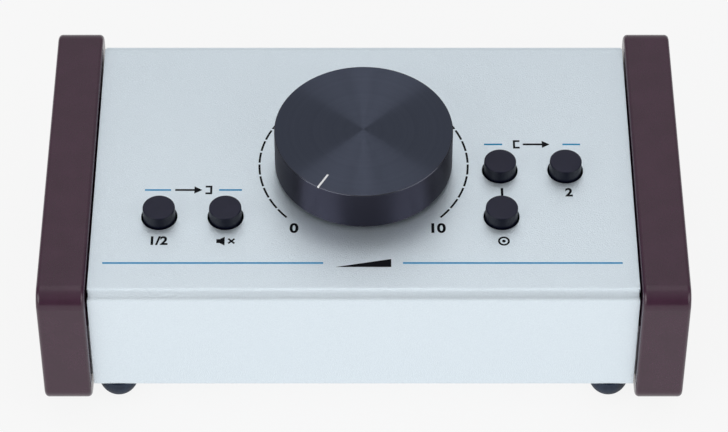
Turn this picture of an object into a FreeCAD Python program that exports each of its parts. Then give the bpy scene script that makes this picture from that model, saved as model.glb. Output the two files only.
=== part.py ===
import FreeCAD, Part
import math
import os

Vec = FreeCAD.Vector

# A passive studio monitor controller. Millimetres, +X to the right, -Y to the front, +Z up.
# The origin is on the table, under the middle of the cheeks.

# ---------------------------------------------------------------- case
cheek_gap = 152.0             # between the inner faces of the two cheeks
shell_side_gap = 0.5          # shadow gap between the shell and each cheek
shell_depth = 97.1            # front wall face to rear wall face
front_height = 37.0           # bottom lip to the corner where front and top planes meet
panel_slope = 2.9             # degrees, the top rises towards the rear
sheet = 1.2                   # folded steel
bend_radius = 2.0             # outside of each fold
bend_relief = (0.3, 2.2)      # depth and reach of the notch at each end of a top fold
lip_depth = 13.0              # turned-in bottom lips
tray_sheet = 1.2
tray_end_gap = 0.5            # tray's ends to the inside of the shell's folds
tray_flange_height = 21.0

# ---------------------------------------------------------------- cheeks and feet
cheek_thickness = 13.2
cheek_proud_top = 2.5
cheek_proud_front = 3.5
cheek_proud_rear = 4.0
cheek_drop = 3.4              # below the shell's bottom
cheek_corner_radius = 5.0
cheek_edge_radius = 1.2
cheek_screw_spacing = 34.0
cheek_screw_rise = 12.0       # above the tray's underside
cheek_screw_bite = 8.5        # length of thread in the wood

foot_height = 7.0
foot_diameter = 11.0
foot_rim = 0.8                # straight part under the case
foot_flat_diameter = 4.4
foot_bulge = 1.1
foot_stem_diameter = 4.0
foot_barb = 0.6               # how far the barb reaches past the stem
foot_barb_height = 1.6
foot_inset_side = 7.0         # foot centre in from the cheek
foot_inset_end = 6.0          # foot centre in from the front or rear wall

# ---------------------------------------------------------------- volume control
knob_diameter = 50.0
knob_top = 14.15              # above the panel
knob_gap = 1.3                # between the panel and the knob's skirt
knob_chamfer = 0.35
knob_skirt_chamfer = 0.3
knob_recess_diameter = 24.0
knob_recess_depth = 5.2
knob_roof = 2.6               # solid metal over the insert
knob_rest_turn = 30.0         # degrees clockwise from pointing down the slope
pointer_length = 5.4
pointer_width = 0.6
pointer_depth = 0.4
insert_diameter = 11.0
shaft_diameter = 6.0
shaft_flat = 0.6              # depth of the flat that the grub screw bears on
insert_stand = 1.0            # insert below the ceiling of the recess
shaft_end_gap = 0.4           # shaft tip to the insert's closed end
grub_socket = (0.75, 1.2)     # radius and depth
bushing_diameter = 9.0
bushing_stand = 4.4           # bushing above the panel
pot_width = 17.5
pot_wall = 1.0
pot_corner_radius = 1.5
pot_plate = 1.8
pot_ledge = 0.8               # step that carries the upper track
pot_track_thickness = 1.0
pot_wiper_thickness = 1.2
pot_wiper_gap = 0.3
pot_collar = (4.0, 1.1)       # radius and height of the shaft's collar
pot_pin_spacing = 5.0
pot_pin_rows = 9.0
pot_washer = (8.0, 0.6)       # radius and thickness
pot_nut = (12.0, 2.2)         # across flats and thickness

# ---------------------------------------------------------------- push buttons
button_edge = 19.15           # outer column to the cheek
button_pitch = 18.45          # between the two columns of each side
button_row_drop = 19.7        # low row to the knob's centre, down the slope
button_row_pitch = 17.6       # between the two rows
cap_diameter = 9.1
cap_side_gap = 0.5            # cap to the edge of its hole
cap_stand = 4.0               # above the panel, released
cap_depth = 4.0               # below the panel, released
cap_taper = 0.05
cap_round = 0.4
cap_dome = 0.15
cap_socket_height = 5.0
button_travel = 2.5
travel_room = 0.9             # left between cap and switch, and under the flange, when pressed
plunger_side = 3.0
plunger_flange = (5.6, 1.2)   # side and thickness
plunger_stub = (1.3, 2.2)     # radius and length, inside the spring
switch_side = 8.2
switch_height = 9.6
switch_wall = 1.0
spring_mean_radius = 1.9
spring_wire = 0.4
spring_turns = 4.5
spring_end_gap = 0.05
switch_pins = (3, 2)          # along and across
switch_pin_spacing = 2.5
pin_side = 0.6                # square solder pins of the switches and the potentiometer

# ---------------------------------------------------------------- boards, cable and fasteners
board_thickness = 1.6
control_board_margin = 12.4   # board's front edge to the low row of buttons
board_to_jacks = 3.2          # board's rear edge to the jack bodies
board_side_gap = 6.5          # boards to the cheeks
control_post_inset = 4.2
jack_board_lift = 6.8         # over the tray
jack_board_front = 9.0        # ahead of the jacks
jack_post_inset = 4.0
jack_post_inner = 23.5        # inner posts from the middle
jack_post_edge = 6.5          # outer posts in from the board's ends
post_across = 5.5             # hexagon posts
header_width = 24.0
header_depth = 8.0
header_height = 5.2
header_drop = 14.6            # upper header's middle to the knob's centre, down the slope
ribbon_width = 20.3
ribbon_thickness = 0.9
ribbon_bend_radius = 3.0

machine_screw = 3.0
machine_head = (2.8, 1.9)     # head radius and height
machine_tail = 2.4            # thread past what it holds
wood_screw = 3.4
wood_head = (3.2, 2.2)
lip_screw_column = 44.0
recess_arm = (0.75, 3.2, 1.1)  # cross recess: arm width, length and depth
screw_point = 0.4             # length of the tip's chamfer, as a share of the thread's radius
head_rim = 0.35               # straight rim, as a share of the head's height
head_dome = (0.72, 0.86)      # a point of the dome, as shares of the head's radius and height

# ---------------------------------------------------------------- jacks
jack_count = 8
jack_row_margin = 6.0         # end of the jacks' row to each cheek
jack_width = 15.0
jack_height = 17.0
jack_body_depth = 28.5
jack_edge = 0.5
jack_nose_diameter = 11.9
jack_nose_stand = 3.2         # nose past the rear wall
jack_mouth_chamfer = 0.6
jack_bore_depth = 31.0
jack_nut = (14.0, 2.0)        # across flats and thickness
plug_diameter = 6.35
plug_clearance = 0.1          # radial
contact_places = (6.0, 14.0, 23.0)   # behind the rear wall's inner face
contact_pin = (1.4, 0.6)      # width and thickness
contact_leaf = 3.0
contact_web = 0.5             # plastic between a contact and the bore
pin_tail = 1.5                # solder pins past their board

# ---------------------------------------------------------------- clearances
thread_clearance = 0.02       # radial, male thread in its own hole
fit_clearance = 0.02          # radial, pressed or glued pieces
running_clearance = 0.04      # radial, shaft in bushing and plunger in collar
hole_clearance = 0.15         # radial, loose holes
overcut = 1.0                 # a hole's tool runs this far past the face that it opens

# ================================================================ places worked out
slope = math.radians(panel_slope)
front_y = (cheek_proud_front - cheek_proud_rear - shell_depth) / 2
rear_y = front_y + shell_depth
shell_half = cheek_gap / 2 - shell_side_gap
corner_z = foot_height + front_height
tray_z = foot_height + sheet
tray_top = tray_z + tray_sheet
wall_gap = bend_radius - sheet + tray_end_gap
board_half = cheek_gap / 2 - board_side_gap
panel_frame = FreeCAD.Placement(Vec(0, front_y, corner_z), FreeCAD.Rotation(Vec(1, 0, 0), panel_slope))

bore_radius = plug_diameter / 2 + plug_clearance
shaft_radius = shaft_diameter / 2
screw_radius = machine_screw / 2
switch_top = -cap_depth - button_travel - travel_room
board_top = switch_top - switch_height
board_under = board_top - board_thickness
insert_top = knob_top - knob_roof
jack_board_z = tray_top + jack_board_lift
jack_z = jack_board_z + board_thickness + jack_height / 2
jack_pitch = (cheek_gap - 2 * jack_row_margin) / jack_count
jack_columns = [(i - (jack_count - 1) / 2) * jack_pitch for i in range(jack_count)]
jack_wall = rear_y - sheet
jack_board_y = jack_wall - jack_body_depth - jack_board_front

# along the slope, from the corner where the front and top planes meet
panel_length = shell_depth / math.cos(slope)
knob_up_slope = panel_length / 2
button_low_row = knob_up_slope - button_row_drop
button_high_row = button_low_row + button_row_pitch
button_outer = cheek_gap / 2 - button_edge
button_inner = button_outer - button_pitch
control_board_low = button_low_row - control_board_margin
control_board_high = (jack_wall - jack_body_depth - front_y) / math.cos(slope) - board_to_jacks
header_up_slope = knob_up_slope - header_drop

buttons = {
    "input": (-button_outer, button_low_row),
    "mute": (-button_inner, button_low_row),
    "mono": (button_inner, button_low_row),
    "output_a": (button_inner, button_high_row),
    "output_b": (button_outer, button_high_row),
}
feet = {
    "front_left": (-1, front_y + foot_inset_end),
    "front_right": (1, front_y + foot_inset_end),
    "rear_left": (-1, rear_y - foot_inset_end),
    "rear_right": (1, rear_y - foot_inset_end),
}
foot_column = cheek_gap / 2 - foot_inset_side
lip_screw_places = [
    (side * lip_screw_column, y)
    for side in (-1, 1)
    for y in (front_y + lip_depth / 2, rear_y - lip_depth / 2)
]
cheek_screw_places = [
    ((front_y + rear_y) / 2 + step * cheek_screw_spacing, tray_z + cheek_screw_rise) for step in (-1, 0, 1)
]
control_post_places = [
    (side * (board_half - control_post_inset), t)
    for side in (-1, 1)
    for t in (control_board_low + control_post_inset, control_board_high - control_post_inset)
]
jack_post_places = [
    (side * column, jack_board_y + jack_post_inset)
    for side in (-1, 1)
    for column in (jack_post_inner, board_half - jack_post_edge)
]
pot_pin_places = [
    (column * pot_pin_spacing, row * pot_pin_rows / 2 - pot_pin_rows / 4)
    for column in (-1, 0, 1)
    for row in (0, 1)
]
pins_along, pins_across = switch_pins
switch_pin_places = [
    ((i - (pins_along - 1) / 2) * switch_pin_spacing, (j - (pins_across - 1) / 2) * 2 * switch_pin_spacing)
    for i in range(pins_along)
    for j in range(pins_across)
]

parts = {}


# ================================================================ helpers
def box(x, y, z):
    """A block between the two limits given for each axis."""
    return Part.makeBox(x[1] - x[0], y[1] - y[0], z[1] - z[0], Vec(x[0], y[0], z[0]))


def post(radius, x, y, low, high):
    """An upright cylinder."""
    return Part.makeCylinder(radius, high - low, Vec(x, y, low))


def hexagon(across, x, y, low, high):
    """An upright hexagonal bar with two flats facing along X."""
    reach = across / math.sqrt(3)
    turns = [(k + 0.5) * math.pi / 3 for k in range(6)]
    corners = [Vec(x + reach * math.cos(a), y + reach * math.sin(a), low) for a in turns]
    return Part.Face(Part.makePolygon(corners + corners[:1])).extrude(Vec(0, 0, high - low))


def rounded_face(corners, radii):
    """A flat face with straight sides, each corner rounded by its own radius."""
    starts, arcs, ends = [], [], []
    for i, corner in enumerate(corners):
        back = (corners[i - 1] - corner).normalize()
        ahead = (corners[(i + 1) % len(corners)] - corner).normalize()
        half = back.getAngle(ahead) / 2
        bisector = (back + ahead).normalize()
        radius = radii[i]
        reach = radius / math.tan(half)
        starts.append(corner + back * reach)
        ends.append(corner + ahead * reach)
        middle = corner + bisector * (radius / math.sin(half) - radius)
        arcs.append(Part.Arc(starts[-1], middle, ends[-1]).toShape() if radius > 0 else None)
    edges = []
    for i, arc in enumerate(arcs):
        if arc:
            edges.append(arc)
        edges.append(Part.LineSegment(ends[i], starts[(i + 1) % len(corners)]).toShape())
    return Part.Face(Part.Wire(edges))


def inset(corners, distance):
    """The corners of a convex outline, moved inwards by one wall thickness."""
    moved = []
    for i, corner in enumerate(corners):
        back = (corners[i - 1] - corner).normalize()
        ahead = (corners[(i + 1) % len(corners)] - corner).normalize()
        moved.append(corner + (back + ahead) * (distance / math.sin(back.getAngle(ahead))))
    return moved


def turned(profile, arcs=()):
    """A solid turned about +Z from (radius, height) points; arcs maps a segment to its middle point."""
    points = [Vec(radius, 0, height) for radius, height in profile]
    edges = []
    for i, point in enumerate(points):
        following = points[(i + 1) % len(points)]
        if i in dict(arcs):
            radius, height = dict(arcs)[i]
            edges.append(Part.Arc(point, Vec(radius, 0, height), following).toShape())
        else:
            edges.append(Part.LineSegment(point, following).toShape())
    return Part.Face(Part.Wire(edges)).revolve(Vec(0, 0, 0), Vec(0, 0, 1), 360)


def ring(outer, inner, low, high):
    return post(outer, 0, 0, low, high).cut(post(inner, 0, 0, low, high))


def placed(shape, at, towards=Vec(0, 0, 1)):
    """The shape moved to a point, with its +Z turned towards a direction."""
    moved = shape.copy()
    moved.Placement = FreeCAD.Placement(at, FreeCAD.Rotation(Vec(0, 0, 1), towards))
    return moved


def on_panel(shape, x=0, up_slope=0, turn=0):
    """Moves a shape from its own frame to a place on the sloping top, +Z standing off the panel."""
    spot = FreeCAD.Placement(Vec(x, up_slope, 0), FreeCAD.Rotation(Vec(0, 0, 1), -turn))
    moved = shape.copy()
    moved.Placement = panel_frame.multiply(spot).multiply(shape.Placement)
    return moved


def screw(radius, head, length):
    """A pan-head screw with a cross recess. Its head seats at z = 0 and the thread runs along +Z."""
    head_radius, head_height = head
    tip = radius * screw_point
    rim = head_height * head_rim
    body = turned(
        [(0, -head_height), (head_radius, -rim), (head_radius, 0), (radius, 0), (radius, length - tip),
         (radius - tip, length), (0, length)],
        {0: (head_radius * head_dome[0], -head_height * head_dome[1])},
    )
    arm_width, arm_length, arm_depth = recess_arm
    low = -head_height - overcut
    for wide, long in ((arm_width, arm_length), (arm_length, arm_width)):
        body = body.cut(box((-wide / 2, wide / 2), (-long / 2, long / 2), (low, -head_height + arm_depth)))
    return body


def compound(solids):
    return Part.makeCompound(solids)


# ================================================================ case shell
def panel_z(y, stand=0.0):
    """Height of the plane that stands this far off the top panel."""
    return corner_z + (y - front_y) * math.tan(slope) + stand / math.cos(slope)


def make_case_shell():
    outline = [
        Vec(-shell_half, front_y, foot_height),
        Vec(-shell_half, front_y, corner_z),
        Vec(-shell_half, rear_y, panel_z(rear_y)),
        Vec(-shell_half, rear_y, foot_height),
    ]
    along = Vec(2 * shell_half, 0, 0)
    shell = rounded_face(outline, [bend_radius] * 4).extrude(along)
    shell = shell.cut(rounded_face(inset(outline, sheet), [bend_radius - sheet] * 4).extrude(along))
    window_y = (front_y + lip_depth, rear_y - lip_depth)
    shell = shell.cut(box((-cheek_gap, cheek_gap), window_y, (0, tray_top)))
    holes = [on_panel(post(bushing_diameter / 2 + hole_clearance, 0, knob_up_slope, -2 * sheet, sheet))]
    hole_radius = cap_diameter / 2 + cap_side_gap
    holes += [on_panel(post(hole_radius, x, t, -2 * sheet, sheet)) for x, t in buttons.values()]
    nose_hole = jack_nose_diameter / 2 + hole_clearance
    holes += [
        Part.makeCylinder(nose_hole, 3 * sheet, Vec(x, jack_wall - sheet, jack_z), Vec(0, 1, 0))
        for x in jack_columns
    ]
    holes += lip_holes(0, tray_z + sheet / 2)
    relief, reach = bend_relief
    for side in (-1, 1):
        edge = sorted((side * shell_half, side * (shell_half - relief)))
        for y in (front_y, rear_y):
            notch_y = (y - reach, y + reach)
            holes.append(box(edge, notch_y, (panel_z(y) - reach, panel_z(y) + reach)))
    return shell.cut(holes)


def lip_holes(low, high):
    """Holes for the feet and the lip screws, through the lips and the tray alike."""
    stem = foot_stem_diameter / 2 + hole_clearance
    holes = [post(stem, side * foot_column, y, low, high) for side, y in feet.values()]
    return holes + [post(screw_radius + thread_clearance, x, y, low, high) for x, y in lip_screw_places]


# ================================================================ base tray
def make_base_tray():
    half = cheek_gap / 2
    start = front_y + sheet + wall_gap
    run = Vec(0, rear_y - sheet - wall_gap - start, 0)
    high = tray_z + tray_flange_height
    outline = [
        Vec(-half, start, tray_z),
        Vec(-half, start, high),
        Vec(half, start, high),
        Vec(half, start, tray_z),
    ]
    outer = rounded_face(outline, [bend_radius, 0, 0, bend_radius]).extrude(run)
    fold = bend_radius - tray_sheet
    inner = rounded_face(inset(outline, tray_sheet), [fold, 0, 0, fold]).extrude(run)
    tray = outer.cut(inner)
    between = (-half + tray_sheet, half - tray_sheet)
    tray = tray.cut(box(between, (front_y, rear_y), (high - 2 * tray_sheet, high + overcut)))
    holes = lip_holes(tray_z - sheet, tray_top + sheet)
    wood_hole = wood_screw / 2 + thread_clearance
    for y, z in cheek_screw_places:
        holes.append(Part.makeCylinder(wood_hole, cheek_gap, Vec(-half, y, z), Vec(1, 0, 0)))
    machine_hole = screw_radius + thread_clearance
    holes += [post(machine_hole, x, y, tray_z - overcut, tray_top + overcut) for x, y in jack_post_places]
    return tray.cut(holes)


# ================================================================ cheeks
def make_cheek(side):
    front = front_y - cheek_proud_front
    rear = rear_y + cheek_proud_rear
    bottom = foot_height - cheek_drop
    inner_x = side * cheek_gap / 2
    outline = [
        Vec(inner_x, front, bottom),
        Vec(inner_x, front, panel_z(front, cheek_proud_top)),
        Vec(inner_x, rear, panel_z(rear, cheek_proud_top)),
        Vec(inner_x, rear, bottom),
    ]
    cheek = rounded_face(outline, [cheek_corner_radius] * 4).extrude(Vec(side * cheek_thickness, 0, 0))
    rims = [edge for edge in cheek.Edges if abs(edge.BoundBox.XLength) < 0.001]
    cheek = cheek.makeFillet(cheek_edge_radius, rims)
    pilot = wood_screw / 2 + thread_clearance
    holes = [
        Part.makeCylinder(pilot, cheek_screw_bite + thread_clearance, Vec(inner_x, y, z), Vec(side, 0, 0))
        for y, z in cheek_screw_places
    ]
    return cheek.cut(holes)


# ================================================================ feet
def make_foot(side, y):
    radius = foot_diameter / 2
    flat = foot_flat_diameter / 2
    stem = foot_stem_diameter / 2
    shoulder = foot_height - foot_rim
    chord = math.hypot(radius - flat, shoulder)
    out_r = (radius + flat) / 2 + foot_bulge * shoulder / chord
    out_z = shoulder / 2 - foot_bulge * (radius - flat) / chord
    profile = [
        (0, 0), (flat, 0), (radius, shoulder), (radius, foot_height), (stem, foot_height), (stem, tray_top),
        (stem + foot_barb, tray_top), (stem - foot_barb / 2, tray_top + foot_barb_height),
        (0, tray_top + foot_barb_height),
    ]
    return placed(turned(profile, {1: (out_r, out_z)}), Vec(side * foot_column, y, 0))


# ================================================================ volume control
def make_knob_blank():
    radius = knob_diameter / 2
    return turned([
        (0, knob_gap), (radius - knob_skirt_chamfer, knob_gap), (radius, knob_gap + knob_skirt_chamfer),
        (radius, knob_top - knob_chamfer), (radius - knob_chamfer, knob_top), (0, knob_top),
    ])


def make_pointer_bar():
    """The slot for the white line, cut from the rim inwards in the direction that points down the slope."""
    half = pointer_width / 2
    outside = -knob_diameter / 2 - overcut
    inside = -knob_diameter / 2 + pointer_length
    return box((-half, half), (outside, inside), (knob_top - pointer_depth, knob_top + overcut))


def grub_bore(radius, start, end):
    """A level bore on the side away from the pointer, at the middle of the insert."""
    level = (knob_gap + knob_recess_depth + insert_top) / 2
    return Part.makeCylinder(radius, end - start, Vec(0, start, level), Vec(0, 1, 0))


def make_knob():
    recess_top = knob_gap + knob_recess_depth
    knob = make_knob_blank().cut([
        post(knob_recess_diameter / 2, 0, 0, knob_gap - overcut, recess_top),
        post(insert_diameter / 2 + fit_clearance, 0, 0, recess_top - overcut, insert_top),
        make_pointer_bar(),
        grub_bore(screw_radius + thread_clearance, 0, knob_diameter),
    ])
    return knob


def make_pot_bushing():
    """Front plate and threaded bushing in one casting, clamped under the panel."""
    half = pot_width / 2
    low = -sheet - pot_plate
    corners = [Vec(-half, -half, low), Vec(half, -half, low), Vec(half, half, low), Vec(-half, half, low)]
    plate = rounded_face(corners, [pot_corner_radius] * 4).extrude(Vec(0, 0, pot_plate))
    body = plate.fuse(post(bushing_diameter / 2, 0, 0, -sheet - pot_plate / 2, bushing_stand))
    bore = post(shaft_radius + running_clearance, 0, 0, low - overcut, bushing_stand + overcut)
    return body.removeSplitter().cut(bore)


pot_top = -sheet - pot_plate
pot_middle = (pot_top + board_top + pot_wall) / 2


def make_pot_housing():
    """An open cup with a ledge half way down for the upper track."""
    half = pot_width / 2
    corners = [Vec(-half, -half, board_top), Vec(half, -half, board_top), Vec(half, half, board_top),
               Vec(-half, half, board_top)]
    cup = rounded_face(corners, [pot_corner_radius] * 4).extrude(Vec(0, 0, pot_top - board_top))
    wide = half - pot_wall
    return cup.cut([
        post(wide, 0, 0, pot_middle, pot_top),
        post(wide - pot_ledge, 0, 0, board_top + pot_wall, pot_middle + overcut),
    ])


def make_pot_tracks():
    wide = pot_width / 2 - pot_wall - hole_clearance
    hole = shaft_radius + pot_wiper_gap
    floor = board_top + pot_wall
    return compound([
        ring(wide, hole, pot_middle, pot_middle + pot_track_thickness),
        ring(wide - pot_ledge, hole, floor, floor + pot_track_thickness),
    ])


def make_pot_wipers():
    wide = pot_width / 2 - pot_wall - pot_ledge - 2 * hole_clearance
    discs = []
    for seat in (pot_middle, board_top + pot_wall):
        low = seat + pot_track_thickness + pot_wiper_gap
        discs.append(ring(wide, shaft_radius + fit_clearance, low, low + pot_wiper_thickness))
    return compound(discs)


def make_pot_shaft():
    low = board_top + pot_wall + pot_track_thickness + pot_wiper_gap
    high = insert_top - shaft_end_gap
    collar_radius, collar_height = pot_collar
    collar_top = pot_top - pot_wiper_gap
    shaft = post(shaft_radius, 0, 0, low, high).fuse(
        post(collar_radius, 0, 0, collar_top - collar_height, collar_top))
    flat_y = shaft_radius - shaft_flat
    flat_z = (bushing_stand + pot_wiper_gap, high + overcut)
    flat = box((-shaft_diameter, shaft_diameter), (flat_y, shaft_diameter), flat_z)
    return shaft.removeSplitter().cut(flat)


def make_pot_pins():
    half = pin_side / 2
    return compound([
        box((x - half, x + half), (y - half, y + half), (board_under - pin_tail, board_top))
        for x, y in pot_pin_places
    ])


def make_knob_insert():
    low = knob_gap + knob_recess_depth - insert_stand
    insert = ring(insert_diameter / 2, shaft_radius + fit_clearance, low, insert_top - fit_clearance)
    return insert.cut(grub_bore(screw_radius + thread_clearance, 0, insert_diameter))


def make_grub_screw():
    start = shaft_radius - shaft_flat
    end = insert_diameter / 2 + machine_tail
    socket_radius, socket_depth = grub_socket
    socket = grub_bore(socket_radius, end - socket_depth, end + overcut)
    return grub_bore(screw_radius, start, end).cut(socket)


def make_volume_control():
    def at_knob(shape, turn=0.0):
        return on_panel(shape, 0, knob_up_slope, turn)

    parts["pot_housing"] = at_knob(make_pot_housing())
    parts["pot_bushing"] = at_knob(make_pot_bushing())
    parts["pot_tracks"] = at_knob(make_pot_tracks())
    parts["pot_pins"] = at_knob(make_pot_pins())
    washer_radius, washer_thickness = pot_washer
    nut_across, nut_thickness = pot_nut
    bushing_hole = bushing_diameter / 2 + thread_clearance
    parts["pot_washer"] = at_knob(ring(washer_radius, bushing_hole, 0, washer_thickness))
    nut_top = washer_thickness + nut_thickness
    nut = hexagon(nut_across, 0, 0, washer_thickness, nut_top)
    parts["pot_nut"] = at_knob(nut.cut(post(bushing_hole, 0, 0, 0, nut_top + overcut)))
    parts["pot_shaft"] = at_knob(make_pot_shaft(), knob_rest_turn)
    parts["pot_wipers"] = at_knob(make_pot_wipers(), knob_rest_turn)
    parts["knob"] = at_knob(make_knob(), knob_rest_turn)
    parts["knob_pointer"] = at_knob(make_knob_blank().common(make_pointer_bar()), knob_rest_turn)
    parts["knob_insert"] = at_knob(make_knob_insert(), knob_rest_turn)
    parts["knob_grub_screw"] = at_knob(make_grub_screw(), knob_rest_turn)


# ================================================================ push buttons
flange_side, flange_thickness = plunger_flange
roof_under = switch_top - switch_wall
flange_top = roof_under - running_clearance
flange_under = flange_top - flange_thickness
socket_top = -cap_depth + cap_socket_height


def make_cap():
    """A moulded cap: slightly tapered wall, rounded rim and a faintly domed top."""
    radius = cap_diameter / 2
    upper = radius - cap_taper
    shoulder = cap_stand - cap_round
    soft = cap_round * (1 - math.sqrt(0.5))
    rim = upper - cap_round
    dome_radius = (rim ** 2 + cap_dome ** 2) / (2 * cap_dome)
    half_way = cap_stand + cap_dome - dome_radius + math.sqrt(dome_radius ** 2 - rim ** 2 / 4)
    cap = turned(
        [(0, -cap_depth), (radius, -cap_depth), (radius, 0), (upper, shoulder), (rim, cap_stand),
         (0, cap_stand + cap_dome)],
        {3: (upper - soft, cap_stand - soft), 4: (rim / 2, half_way)},
    )
    half = plunger_side / 2 + fit_clearance
    return cap.cut(box((-half, half), (-half, half), (-cap_depth - overcut, socket_top)))


def make_plunger():
    half = plunger_side / 2
    wide = flange_side / 2
    stub_radius, stub_length = plunger_stub
    stem = box((-half, half), (-half, half), (flange_top, socket_top - fit_clearance))
    flange = box((-wide, wide), (-wide, wide), (flange_under, flange_top))
    stub = post(stub_radius, 0, 0, flange_under - stub_length, flange_under)
    return stem.fuse([flange, stub]).removeSplitter()


def make_switch_body():
    half = switch_side / 2
    room = half - switch_wall
    collar = plunger_side / 2 + running_clearance
    body = box((-half, half), (-half, half), (board_top, switch_top))
    return body.cut([
        box((-room, room), (-room, room), (board_top + switch_wall, roof_under)),
        box((-collar, collar), (-collar, collar), (roof_under - overcut, switch_top + overcut)),
    ])


def make_spring():
    """A coil between the switch's floor and the plunger's flange: level-ended half turns, each tilted."""
    low = board_top + switch_wall + spring_wire / 2 + spring_end_gap
    high = flange_under - spring_wire / 2 - spring_end_gap
    half_turns = round(2 * spring_turns)
    rise = (high - low) / half_turns
    half_coils = []
    for i in range(half_turns):
        side = 1 if i % 2 == 0 else -1
        start = Vec(side * spring_mean_radius, 0, low + i * rise)
        centre = Vec(0, 0, low + (i + 0.5) * rise)
        axis = (start - centre).normalize().cross(Vec(0, side, 0))
        section = Part.Face(Part.Wire(Part.makeCircle(spring_wire / 2, start, Vec(0, 1, 0))))
        half_coils.append(section.revolve(centre, axis, 180))
    return half_coils[0].fuse(half_coils[1:]).Solids[0]


def make_switch_pins():
    half = pin_side / 2
    return [
        box((x - half, x + half), (y - half, y + half), (board_under - pin_tail, board_top))
        for x, y in switch_pin_places
    ]


def make_buttons():
    pins = []
    for name, (x, t) in buttons.items():
        parts["cap_" + name] = on_panel(make_cap(), x, t)
        parts["plunger_" + name] = on_panel(make_plunger(), x, t)
        parts["spring_" + name] = on_panel(make_spring(), x, t)
        parts["switch_" + name] = on_panel(make_switch_body(), x, t)
        pins += [on_panel(pin, x, t) for pin in make_switch_pins()]
    parts["switch_pins"] = compound(pins)


# ================================================================ control board
through_board = (board_under - overcut, board_top + overcut)


def pin_holes(places, x, t):
    half = pin_side / 2 + fit_clearance
    return [
        box((x + a - half, x + a + half), (t + b - half, t + b + half), through_board)
        for a, b in places
    ]


def make_control_board():
    board = box((-board_half, board_half), (control_board_low, control_board_high), (board_under, board_top))
    holes = pin_holes(pot_pin_places, 0, knob_up_slope)
    for x, t in buttons.values():
        holes += pin_holes(switch_pin_places, x, t)
    screw_hole = screw_radius + hole_clearance
    holes += [post(screw_hole, x, t, *through_board) for x, t in control_post_places]
    parts["control_board"] = on_panel(board.cut(holes))


def threaded_post(x, y, low, high):
    bar = hexagon(post_across, x, y, low, high)
    return bar.cut(post(screw_radius + thread_clearance, x, y, low - overcut, high + overcut))


def make_control_posts():
    posts = [threaded_post(x, t, board_top, -sheet) for x, t in control_post_places]
    parts["control_board_posts"] = compound([on_panel(p) for p in posts])
    fastener = screw(screw_radius, machine_head, board_thickness + machine_tail)
    return [on_panel(placed(fastener, Vec(x, t, board_under))) for x, t in control_post_places]


# ================================================================ jack board and jacks
def contact_outline(place):
    """Seat plane of one contact: pin up through the board, leaf bent towards the front under the bore."""
    y = jack_wall - place
    top = jack_z - bore_radius - contact_web
    half = contact_pin[1] / 2
    return [
        Vec(0, y - half, jack_board_z - pin_tail),
        Vec(0, y + half, jack_board_z - pin_tail),
        Vec(0, y + half, top),
        Vec(0, y - half - contact_leaf, top),
        Vec(0, y - half - contact_leaf, top - contact_pin[1]),
        Vec(0, y - half, top - contact_pin[1]),
    ]


def make_contact(x, place):
    face = Part.Face(Part.makePolygon(contact_outline(place) + contact_outline(place)[:1]))
    return face.extrude(Vec(contact_pin[0], 0, 0)).translated(Vec(x - contact_pin[0] / 2, 0, 0))


def make_jack(x):
    half = jack_width / 2
    low = jack_board_z + board_thickness
    body = box((x - half, x + half), (jack_wall - jack_body_depth, jack_wall), (low, low + jack_height))
    long_edges = [edge for edge in body.Edges if edge.BoundBox.YLength > jack_body_depth / 2]
    body = body.makeChamfer(jack_edge, long_edges)
    axis = Vec(0, 1, 0)
    root = jack_wall - jack_edge
    tip = rear_y + jack_nose_stand
    nose = Part.makeCylinder(jack_nose_diameter / 2, tip - root, Vec(x, root, jack_z), axis)
    bore = Part.makeCylinder(bore_radius, jack_bore_depth, Vec(x, tip - jack_bore_depth, jack_z), axis)
    mouth = Part.makeCone(bore_radius, bore_radius + jack_mouth_chamfer, jack_mouth_chamfer,
                          Vec(x, tip - jack_mouth_chamfer, jack_z), axis)
    slots = []
    width = contact_pin[0] / 2 + fit_clearance
    top = jack_z - bore_radius - contact_web + fit_clearance
    for place in contact_places:
        y = jack_wall - place
        reach = contact_pin[1] / 2 + fit_clearance
        slots.append(box((x - width, x + width), (y - reach - contact_leaf, y + reach), (low - overcut, top)))
    return body.fuse(nose).cut([bore, mouth] + slots)


def make_jack_board():
    span_y = (jack_board_y, jack_wall - hole_clearance)
    top = jack_board_z + board_thickness
    board = box((-board_half, board_half), span_y, (jack_board_z, top))
    through = (jack_board_z - overcut, top + overcut)
    holes = [post(screw_radius + hole_clearance, x, y, *through) for x, y in jack_post_places]
    wide = contact_pin[0] / 2 + fit_clearance
    thick = contact_pin[1] / 2 + fit_clearance
    for x in jack_columns:
        for place in contact_places:
            y = jack_wall - place
            holes.append(box((x - wide, x + wide), (y - thick, y + thick), through))
    parts["jack_board"] = board.cut(holes)


def make_jacks():
    nuts = []
    contacts = []
    across, thickness = jack_nut
    for number, x in enumerate(jack_columns, 1):
        parts[f"jack_{number}"] = make_jack(x)
        nut = hexagon(across, 0, 0, 0, thickness)
        nut = nut.cut(post(jack_nose_diameter / 2 + thread_clearance, 0, 0, -overcut, thickness + overcut))
        nuts.append(placed(nut, Vec(x, rear_y, jack_z), Vec(0, 1, 0)))
        contacts += [make_contact(x, place) for place in contact_places]
    parts["jack_nuts"] = compound(nuts)
    parts["jack_contacts"] = compound(contacts)


def make_jack_posts():
    posts = [threaded_post(x, y, tray_top, jack_board_z) for x, y in jack_post_places]
    parts["jack_board_posts"] = compound(posts)
    fastener = screw(screw_radius, machine_head, board_thickness + machine_tail)
    top = jack_board_z + board_thickness
    return [placed(fastener, Vec(x, y, top), Vec(0, 0, -1)) for x, y in jack_post_places]


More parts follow.
